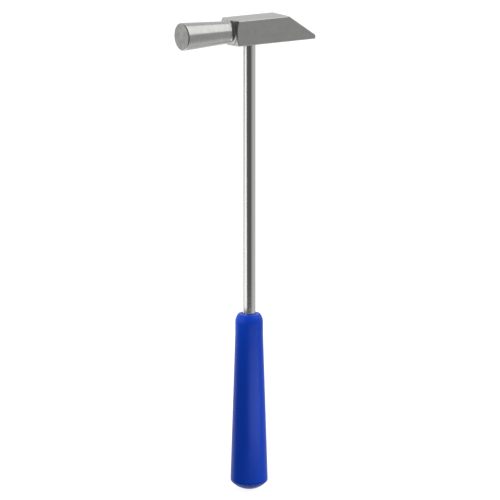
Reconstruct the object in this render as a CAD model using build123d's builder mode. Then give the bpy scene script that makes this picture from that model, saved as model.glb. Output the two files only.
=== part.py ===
from build123d import *
import math
import os

# Small cross-peen hammer: one steel head, a slim steel shaft and a moulded grip.
#
# Millimetres. The origin is where the shaft's axis meets the underside of the head.
# +Z runs up through the head, -X points at the round striking face and +X at the wedge.

# ---- Driving dimensions -------------------------------------------------------------

shaft_diameter = 5.0

# Head: a rectangular bar with a round poll on its left end and a wedge on its right end
bar_width = 12.0             # across Y
bar_height = 9.8             # along Z
face_reach = 30.4            # shaft axis to striking face
wedge_reach = 26.6           # shaft axis to the wedge's blunt tip
shoulder_reach = 9.2         # shaft axis to the flat shoulder at the end of the bar
ridge_reach = 14.5           # shaft axis to the ridge where the top starts to slope
tip_height = 1.6
face_diameter = 10.7
neck_diameter = 8.5          # the poll's taper, carried on to the shoulder
root_length = 2.2            # shoulder to where the poll is a plain taper
hollow_radius = 1.6          # between the poll and the shoulder
shoulder_diameter = 12.4     # of the flat shoulder, outside which the corners are cut back
corner_angle = 60.0          # between the cut corners and the turning axis
face_edge = 0.4              # edge break round the striking face
bar_edge = 0.4               # edge break on every edge of the bar and the wedge
rim_edge = 0.3               # edge break where the turned end meets the bar's flats

# Joint of head and shaft: a turned-down spigot pressed into a blind drilled hole
spigot_diameter = 4.0
spigot_length = 6.0
hole_depth = 6.5
drill_point_angle = 118.0

# Shaft inside the grip
shaft_reach = 160.0          # underside of head to the shaft's lower end
shaft_edge = 0.4
groove_count = 4
groove_width = 1.5
groove_depth = 0.5
groove_pitch = 6.0
groove_first = 122.0         # underside of head to the upper edge of the first groove
flats_length = 10.0
flats_across = 4.0

# Grip: a flat top, a rounded shoulder, a short straight neck, a long taper and a dome
grip_top = 105.9             # underside of head to the grip's flat top
grip_shoulder = 3.3          # height of the rounded shoulder
grip_neck_end = 114.0        # underside of head to where the taper starts
grip_rim = 172.5             # underside of head to the rim of the domed end
grip_top_flat_diameter = 8.4
grip_neck_diameter = 10.8
grip_rim_diameter = 14.6
dome_height = 3.45
grip_top_edge = 0.4
grip_rim_edge = 1.3
mouth_edge = 0.3             # edge break where the shaft enters the grip

# ---- Worked-out sizes ---------------------------------------------------------------

shaft_radius = shaft_diameter / 2
spigot_radius = spigot_diameter / 2
bar_middle = bar_height / 2
poll_radius = face_diameter / 2
neck_radius = neck_diameter / 2
shoulder_radius = shoulder_diameter / 2
corner_radius = math.hypot(bar_width, bar_height) / 2
corner_end = (corner_radius - shoulder_radius) / math.tan(math.radians(corner_angle)) - shoulder_reach
root_reach = shoulder_reach + root_length
taper = (poll_radius - neck_radius) / (face_reach - shoulder_reach)
taper_point = (-root_reach, neck_radius + taper * root_length)
dome_radius = ((grip_rim_diameter / 2) ** 2 + dome_height ** 2) / (2 * dome_height)
dome_angle = math.degrees(math.asin(grip_rim_diameter / 2 / dome_radius))
drill_point_height = spigot_radius / math.tan(math.radians(drill_point_angle / 2))

# The turning axis runs along the middle of the bar
turning_axis = Axis((0, 0, bar_middle), (1, 0, 0))
turning_plane = Plane(origin=(0, 0, bar_middle), x_dir=(1, 0, 0), z_dir=(0, -1, 0))

# ---- Shaft --------------------------------------------------------------------------

with BuildPart() as shaft_rod:
    # Plain rod with a spigot on top; both ends have a small chamfer
    with BuildSketch(Plane.XZ):
        with BuildLine():
            Polyline(
                (0, spigot_length),
                (spigot_radius - shaft_edge, spigot_length),
                (spigot_radius, spigot_length - shaft_edge),
                (spigot_radius, 0),
                (shaft_radius, 0),
                (shaft_radius, shaft_edge - shaft_reach),
                (shaft_radius - shaft_edge, -shaft_reach),
                (0, -shaft_reach),
                close=True,
            )
        make_face()
    revolve(axis=Axis.Z)

    # Ring grooves that the moulded grip locks into lengthways
    for index in range(groove_count):
        level = -groove_first - index * groove_pitch
        with BuildSketch(Plane.XY.offset(level)):
            Circle(shaft_radius)
            Circle(shaft_radius - groove_depth, mode=Mode.SUBTRACT)
        extrude(amount=-groove_width, mode=Mode.SUBTRACT)

    # Two flats at the lower end that stop the grip turning
    flat_depth = shaft_radius - flats_across / 2
    flat_offset = flats_across / 2 + flat_depth / 2
    flat_level = flats_length / 2 - shaft_reach
    with Locations((flat_offset, 0, flat_level), (-flat_offset, 0, flat_level)):
        Box(flat_depth, shaft_diameter, flats_length, mode=Mode.SUBTRACT)

shaft_rod.part.label = "shaft_rod"

# ---- Head ---------------------------------------------------------------------------

with BuildPart() as hammer_head:
    # Bar with a sloping top: the outline seen from the side, as wide as the bar. It runs on
    # to the left as far as the root of the poll
    with BuildSketch(Plane.XZ):
        with BuildLine():
            Polyline(
                (-root_reach, 0),
                (wedge_reach, 0),
                (wedge_reach, tip_height),
                (ridge_reach, bar_height),
                (-root_reach, bar_height),
                close=True,
            )
        make_face()
    extrude(amount=bar_width / 2, both=True)
    fillet(hammer_head.edges(), bar_edge)

    # The left end is turned: the root of the poll, the hollow, the flat shoulder and the
    # corners that are cut back. The rest of the bar stays inside the outline
    with BuildSketch(turning_plane):
        with BuildLine():
            Polyline(
                (-root_reach, 0),
                taper_point,
                (-shoulder_reach, neck_radius),
                (-shoulder_reach, shoulder_radius),
                (corner_end, corner_radius),
                (wedge_reach, corner_radius),
                (wedge_reach, 0),
                close=True,
            )
        make_face()
        fillet(vertices().sort_by_distance((-shoulder_reach, neck_radius))[0], hollow_radius)
    revolve(axis=turning_axis, mode=Mode.INTERSECT)
    rim = hammer_head.edges().filter_by_position(Axis.X, -shoulder_reach - hollow_radius / 2, corner_end)
    fillet(rim.filter_by(GeomType.CIRCLE, reverse=True), rim_edge)

    # The poll's plain taper, out to the striking face
    with BuildSketch(turning_plane):
        with BuildLine():
            Polyline(
                (-face_reach, 0),
                (-face_reach, poll_radius),
                taper_point,
                (-root_reach, 0),
                close=True,
            )
        make_face()
    revolve(axis=turning_axis)
    fillet(hammer_head.faces().sort_by(Axis.X)[0].edges(), face_edge)

    # Blind hole for the shaft's spigot, with the drill's cone at its end
    with BuildSketch(Plane.XZ):
        with BuildLine():
            Polyline(
                (0, 0),
                (spigot_radius, 0),
                (spigot_radius, hole_depth),
                (0, hole_depth + drill_point_height),
                close=True,
            )
        make_face()
    revolve(axis=Axis.Z, mode=Mode.SUBTRACT)

hammer_head.part.label = "hammer_head"

# ---- Grip ---------------------------------------------------------------------------

with BuildPart() as handle_grip:
    top_point = (grip_top_flat_diameter / 2, -grip_top)
    shoulder_point = (grip_neck_diameter / 2, -grip_top - grip_shoulder)
    neck_point = (grip_neck_diameter / 2, -grip_neck_end)
    rim_point = (grip_rim_diameter / 2, -grip_rim)
    with BuildSketch(Plane.XZ):
        with BuildLine():
            CenterArc((0, dome_radius - grip_rim - dome_height), dome_radius, -90, dome_angle)
            Line(rim_point, neck_point)
            Line(neck_point, shoulder_point)
            TangentArc(shoulder_point, top_point, tangent=(0, 1))
            Line(top_point, (0, -grip_top))
            Line((0, -grip_top), (0, -grip_rim - dome_height))
        make_face()
        fillet(vertices().sort_by_distance(rim_point)[0], grip_rim_edge)
        fillet(vertices().sort_by_distance(top_point)[0], grip_top_edge)
    revolve(axis=Axis.Z)

    # The grip is moulded round the shaft, so its cavity is the shaft's own shape
    add(shaft_rod.part, mode=Mode.SUBTRACT)
    mouth = handle_grip.edges().filter_by(GeomType.CIRCLE).group_by(Axis.Z)[-1].sort_by(SortBy.RADIUS)[0]
    chamfer(mouth, mouth_edge)

handle_grip.part.label = "handle_grip"

# ---- Files --------------------------------------------------------------------------

os.makedirs("parts", exist_ok=True)
for piece in (hammer_head, shaft_rod, handle_grip):
    export_step(piece.part, f"parts/{piece.part.label}.step")
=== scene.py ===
import math

import bpy
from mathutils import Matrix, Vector


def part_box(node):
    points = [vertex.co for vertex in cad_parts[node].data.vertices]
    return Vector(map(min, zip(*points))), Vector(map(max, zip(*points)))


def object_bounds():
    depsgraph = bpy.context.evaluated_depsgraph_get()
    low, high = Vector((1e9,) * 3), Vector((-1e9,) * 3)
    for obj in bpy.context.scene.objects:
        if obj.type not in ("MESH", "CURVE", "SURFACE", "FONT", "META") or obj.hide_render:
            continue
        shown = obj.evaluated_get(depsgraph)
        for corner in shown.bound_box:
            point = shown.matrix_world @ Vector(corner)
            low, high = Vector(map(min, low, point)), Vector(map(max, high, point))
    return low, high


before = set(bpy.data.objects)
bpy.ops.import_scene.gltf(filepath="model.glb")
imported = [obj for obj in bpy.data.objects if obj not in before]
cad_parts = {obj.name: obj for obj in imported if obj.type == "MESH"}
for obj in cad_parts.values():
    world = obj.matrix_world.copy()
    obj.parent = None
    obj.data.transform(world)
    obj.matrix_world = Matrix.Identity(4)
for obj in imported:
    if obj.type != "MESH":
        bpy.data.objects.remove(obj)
cad_low, cad_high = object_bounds()

# Metres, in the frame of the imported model: +Z runs up the shaft to the head, -X is the round
# striking face and +X the wedge.

MM = 0.001


# ---- Sizes taken from the frame -----------------------------------------------------

head_low, head_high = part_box("hammer_head")
grip_low, grip_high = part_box("handle_grip")

centre = (cad_low + cad_high) / 2
floor_level = cad_low.z
turning_level = (head_low.z + head_high.z) / 2
poll_length = 21.2 * MM
shoulder_x = head_low.x + poll_length


# ---- Small helpers for node trees ---------------------------------------------------

class Nodes:
    """A node tree with short calls: add a node, link it, and do sums."""

    def __init__(self, tree):
        self.tree = tree
        tree.nodes.clear()

    def add(self, kind, **settings):
        node = self.tree.nodes.new(kind)
        for name, value in settings.items():
            setattr(node, name, value)
        return node

    def put(self, socket, value):
        """Links value to the socket if it is an output, and else sets it there."""
        if isinstance(value, bpy.types.NodeSocket):
            self.tree.links.new(value, socket)
        else:
            socket.default_value = value

    def math(self, operation, *values):
        node = self.add("ShaderNodeMath", operation=operation)
        for socket, value in zip(node.inputs, values):
            self.put(socket, value)
        return node.outputs[0]

    def combine(self, *values):
        node = self.add("ShaderNodeCombineXYZ")
        for socket, value in zip(node.inputs, values):
            self.put(socket, value)
        return node.outputs[0]

    def vector(self, operation, *values):
        node = self.add("ShaderNodeVectorMath", operation=operation)
        for socket, value in zip(node.inputs, values):
            self.put(socket, value)
        return node.outputs["Value"] if operation == "DOT_PRODUCT" else node.outputs[0]

    def ramp(self, value, low, high, at_low=0.0, at_high=1.0):
        """at_low below low, at_high above high, and smooth between them."""
        node = self.add("ShaderNodeMapRange", interpolation_type="SMOOTHSTEP")
        for socket, number in zip(node.inputs, (value, low, high, at_low, at_high)):
            self.put(socket, number)
        return node.outputs[0]

    def noise(self, place, scale=1.0, detail=2.0, roughness=0.5):
        node = self.add("ShaderNodeTexNoise")
        self.put(node.inputs["Vector"], place)
        node.inputs["Scale"].default_value = scale
        node.inputs["Detail"].default_value = detail
        node.inputs["Roughness"].default_value = roughness
        return node.outputs["Fac"]

    def edge(self, reach):
        """1 on sharp edges and 0 on open faces more than reach metres from one."""
        soft = self.add("ShaderNodeBevel", samples=4)
        soft.inputs["Radius"].default_value = reach
        flat = self.add("ShaderNodeNewGeometry").outputs["Normal"]
        return self.ramp(self.vector("DOT_PRODUCT", soft.outputs[0], flat), 0.90, 0.995, 1.0, 0.0)

    def mix(self, share, a, b):
        node = self.add("ShaderNodeMix", data_type="FLOAT")
        for socket, value in zip(node.inputs[:4], (share, None, a, b)):
            if value is not None:
                self.put(socket, value)
        return node.outputs[0]

    def mix_colour(self, share, a, b):
        node = self.add("ShaderNodeMix", data_type="RGBA")
        self.put(node.inputs[0], share)
        self.put(node.inputs[6], a)
        self.put(node.inputs[7], b)
        return node.outputs[2]


def rgb(red, green, blue):
    return (red, green, blue, 1.0)


def new_material(name):
    material = bpy.data.materials.new(name)
    material.use_nodes = True
    nodes = Nodes(material.node_tree)
    shader = nodes.add("ShaderNodeBsdfPrincipled")
    output = nodes.add("ShaderNodeOutputMaterial")
    nodes.put(output.inputs["Surface"], shader.outputs[0])
    return material, nodes, shader


def bump(nodes, shader, height, depth):
    """Raises the surface by up to depth metres where height is 1."""
    node = nodes.add("ShaderNodeBump")
    node.inputs["Strength"].default_value = 1.0
    node.inputs["Distance"].default_value = depth
    nodes.put(node.inputs["Height"], height)
    nodes.put(shader.inputs["Normal"], node.outputs[0])


# ---- Materials ----------------------------------------------------------------------

def head_steel():
    """Bare steel: the bar is ground along its length, and the poll and its face are turned."""
    material, nodes, shader = new_material("head_steel_ground_and_turned")
    place = nodes.add("ShaderNodeTexCoord").outputs["Object"]
    axes = nodes.add("ShaderNodeSeparateXYZ")
    nodes.put(axes.inputs[0], place)
    x, y, z = axes.outputs
    normal = nodes.add("ShaderNodeSeparateXYZ")
    nodes.put(normal.inputs[0], nodes.add("ShaderNodeNewGeometry").outputs["Normal"])

    along_bar = nodes.noise(nodes.vector("MULTIPLY", place, (120, 5200, 5200)), detail=3.0)
    round_poll = nodes.noise(nodes.vector("MULTIPLY", place, (7000, 60, 60)), detail=2.0)
    rise = nodes.math("SUBTRACT", z, turning_level)
    radius_squared = nodes.math("ADD", nodes.math("MULTIPLY", y, y), nodes.math("MULTIPLY", rise, rise))
    radius = nodes.math("SQRT", radius_squared)
    rings = nodes.noise(nodes.vector("MULTIPLY", nodes.combine(radius, y, z), (9000, 120, 120)), detail=2.0)
    blend = 0.1 * MM
    is_poll = nodes.ramp(x, shoulder_x - blend, shoulder_x + blend, 1.0, 0.0)
    is_face = nodes.ramp(normal.outputs[0], -0.97, -0.90, 1.0, 0.0)
    lines = nodes.mix(is_face, nodes.mix(is_poll, along_bar, round_poll), rings)

    blotches = nodes.noise(place, scale=420.0, detail=4.0, roughness=0.6)
    clouds = nodes.noise(place, scale=90.0, detail=3.0)
    stains = nodes.mix(is_face, blotches, nodes.ramp(blotches, 0.40, 0.62))
    shade = nodes.math("ADD", nodes.math("MULTIPLY", lines, 0.4), nodes.math("MULTIPLY", stains, 0.6))
    colour = nodes.mix_colour(shade, rgb(0.32, 0.32, 0.31), rgb(0.48, 0.48, 0.47))
    worn = nodes.math("MULTIPLY", nodes.edge(0.35 * MM), nodes.ramp(blotches, 0.3, 0.6, 0.3, 1.0))
    nodes.put(shader.inputs["Base Color"], nodes.mix_colour(worn, colour, rgb(0.56, 0.56, 0.55)))
    shader.inputs["Metallic"].default_value = 1.0
    smooth = nodes.mix(is_face, nodes.mix(is_poll, 0.30, 0.22), 0.42)
    rough = nodes.math("ADD", smooth, nodes.math("MULTIPLY", nodes.math("SUBTRACT", clouds, 0.5), 0.16))
    nodes.put(shader.inputs["Roughness"], rough)
    bump(nodes, shader, nodes.math("ADD", lines, nodes.math("MULTIPLY", blotches, 0.4)), 0.0045 * MM)
    return material


def shaft_steel():
    """Bright drawn rod: near mirror, with fine lines along its length."""
    material, nodes, shader = new_material("shaft_steel_bright_drawn")
    place = nodes.add("ShaderNodeTexCoord").outputs["Object"]
    lines = nodes.noise(nodes.vector("MULTIPLY", place, (2600, 2600, 9)), detail=4.0, roughness=0.65)
    clouds = nodes.noise(nodes.vector("MULTIPLY", place, (150, 150, 30)), detail=3.0)
    colour = nodes.mix_colour(lines, rgb(0.56, 0.56, 0.55), rgb(0.74, 0.74, 0.73))
    nodes.put(shader.inputs["Base Color"], colour)
    shader.inputs["Metallic"].default_value = 1.0
    rough = nodes.math("ADD", 0.13, nodes.math("MULTIPLY", clouds, 0.07))
    nodes.put(shader.inputs["Roughness"], rough)
    bump(nodes, shader, lines, 0.004 * MM)
    return material


def grip_plastic():
    """Royal-blue moulded plastic with a satin skin and a very fine grain."""
    material, nodes, shader = new_material("grip_plastic_royal_blue")
    place = nodes.add("ShaderNodeTexCoord").outputs["Object"]
    grain = nodes.noise(place, scale=5200.0, detail=3.0, roughness=0.6)
    flow = nodes.noise(nodes.vector("MULTIPLY", place, (260, 260, 60)), detail=3.0)
    colour = nodes.mix_colour(flow, rgb(0.0, 0.048, 0.50), rgb(0.001, 0.060, 0.59))
    nodes.put(shader.inputs["Base Color"], colour)
    shader.inputs["Specular IOR Level"].default_value = 0.15
    rough = nodes.math("ADD", 0.34, nodes.math("MULTIPLY", nodes.math("SUBTRACT", flow, 0.5), 0.14))
    nodes.put(shader.inputs["Roughness"], rough)
    bump(nodes, shader, nodes.math("ADD", grain, nodes.math("MULTIPLY", flow, 0.6)), 0.02 * MM)
    return material


def wear(node_name, material):
    """Gives every material slot of a carried-over piece the better material."""
    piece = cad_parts[node_name]
    for slot in piece.material_slots:
        slot.material = material
    return piece


wear("hammer_head", head_steel())
wear("shaft_rod", shaft_steel())
wear("handle_grip", grip_plastic())


# ---- Camera -------------------------------------------------------------------------

camera_azimuth = math.radians(-32.95)
camera_elevation = math.radians(12.27)
camera_distance = 1.5418
framing_offset = Vector((2.3 * MM, 0.0, 2.0 * MM))
aim = centre + framing_offset

towards_camera = Vector((
    math.sin(camera_azimuth) * math.cos(camera_elevation),
    -math.cos(camera_azimuth) * math.cos(camera_elevation),
    math.sin(camera_elevation),
))
camera_data = bpy.data.cameras.new("camera")
camera_data.lens = 288.0
camera_data.sensor_width = 36.0
camera_data.clip_end = 50.0
camera = bpy.data.objects.new("camera", camera_data)
camera.location = aim + towards_camera * camera_distance
camera.rotation_euler = (-towards_camera).to_track_quat("-Z", "Y").to_euler()
bpy.context.scene.collection.objects.link(camera)
bpy.context.scene.camera = camera


# ---- Studio -------------------------------------------------------------------------

def bearing(side):
    """The level direction that is side degrees round from the camera's azimuth, to the viewer's right."""
    angle = camera_azimuth + math.radians(side)
    return Vector((math.sin(angle), -math.cos(angle), 0.0))


def floor():
    """A plain white floor that the grip's domed end touches.

    The camera sees it brighter than the light it sends up, and gloss doesn't show it.
    """
    half = 6.0
    seen_brightness = 0.90
    light_sent_up = 0.08
    mesh = bpy.data.meshes.new("studio_floor")
    signs = ((-1, -1), (1, -1), (1, 1), (-1, 1))
    corners = [(half * across, half * along, floor_level) for across, along in signs]
    mesh.from_pydata(corners, [], [(0, 1, 2, 3)])
    piece = bpy.data.objects.new("studio_floor", mesh)
    bpy.context.scene.collection.objects.link(piece)
    material, nodes, shader = new_material("studio_floor_white")
    shader.inputs["Base Color"].default_value = rgb(0.22, 0.22, 0.22)
    shader.inputs["Roughness"].default_value = 0.9
    shader.inputs["Emission Color"].default_value = rgb(1.0, 1.0, 1.0)
    seen = nodes.add("ShaderNodeLightPath").outputs["Is Camera Ray"]
    nodes.put(shader.inputs["Emission Strength"], nodes.mix(seen, light_sent_up, seen_brightness))
    mesh.materials.append(material)
    piece.visible_glossy = False


def softbox(name, target, side, rise, distance, width, tall, radiance):
    """A soft rectangular panel aimed at target, with bearing side and rise degrees above level."""
    lift = math.radians(rise)
    spot = target + distance * (bearing(side) * math.cos(lift) + Vector((0.0, 0.0, math.sin(lift))))
    data = bpy.data.lights.new(name, "AREA")
    data.shape = "RECTANGLE"
    data.size = width
    data.size_y = tall
    data.energy = radiance * math.pi * width * tall
    light = bpy.data.objects.new(name, data)
    light.location = spot
    light.rotation_euler = (target - spot).to_track_quat("-Z", "Y").to_euler()
    light.visible_camera = False
    bpy.context.scene.collection.objects.link(light)
    return light


def studio_surround():
    """A pale room that the camera sees as plain white.

    It is bright far round to the left, dim from there to the camera, and brighter again to the
    right and behind. More light comes from above and, on the right, from below. Diffuse rays find
    the dim part lighter than glossy rays do.
    """
    far_left = 1.3
    back = 0.9
    below = 0.95
    above = 1.4
    world = bpy.data.worlds.new("studio")
    world.use_nodes = True
    nodes = Nodes(world.node_tree)
    direction = nodes.add("ShaderNodeTexCoord").outputs["Generated"]
    axes = nodes.add("ShaderNodeSeparateXYZ")
    nodes.put(axes.inputs[0], direction)
    to_right = nodes.vector("DOT_PRODUCT", direction, tuple(bearing(90)))
    to_front = nodes.vector("DOT_PRODUCT", direction, tuple(bearing(0)))
    side = nodes.math("DEGREES", nodes.math("ARCTAN2", to_right, to_front))
    rise = nodes.math("DEGREES", nodes.math("ARCSINE", axes.outputs[2]))

    path = nodes.add("ShaderNodeLightPath")
    dim = nodes.mix(path.outputs["Is Diffuse Ray"], nodes.ramp(side, -30, 15, 0.16, 0.09), 0.48)
    left_wall = nodes.ramp(side, -114, -98, far_left, dim)
    right_wall = nodes.ramp(side, 12, 85, 0.0, nodes.mix(path.outputs["Is Diffuse Ray"], 0.57, 0.56))
    back_wall = nodes.ramp(nodes.math("ABSOLUTE", side), 125, 160)
    walls = nodes.mix(back_wall, nodes.math("ADD", left_wall, right_wall), back)
    table = nodes.math("MULTIPLY", nodes.ramp(rise, -50, -30, 1.0, 0.0), nodes.ramp(side, -5, 50))
    with_table = nodes.mix(table, walls, below)
    light = nodes.mix(nodes.ramp(rise, 60, 78), with_table, above)
    background = nodes.add("ShaderNodeBackground")
    nodes.put(background.inputs["Strength"], nodes.mix(path.outputs["Is Camera Ray"], light, 1.0))
    output = nodes.add("ShaderNodeOutputWorld")
    nodes.put(output.inputs[0], background.outputs[0])
    background.inputs["Color"].default_value = rgb(1.0, 1.0, 1.0)
    bpy.context.scene.world = world


shaft_middle = Vector((0.0, 0.0, (head_low.z + grip_high.z) / 2))
grip_middle = (grip_low + grip_high) / 2

floor()
softbox("key_right", aim, side=84, rise=46, distance=1.3, width=1.8, tall=1.2, radiance=1.15)

# Close to the shaft, for the bright line on its left
softbox(
    "strip_left", shaft_middle, side=-66, rise=-8, distance=0.03, width=0.025, tall=0.104, radiance=1.25
)

# Close to the grip and low enough to stay off the shaft. It only adds sheen
sheen = softbox(
    "panel_right", grip_middle, side=40, rise=-8, distance=0.06, width=0.10, tall=0.046, radiance=2.3
)
sheen.visible_diffuse = False

studio_surround()
bpy.context.scene.view_settings.view_transform = "Standard"
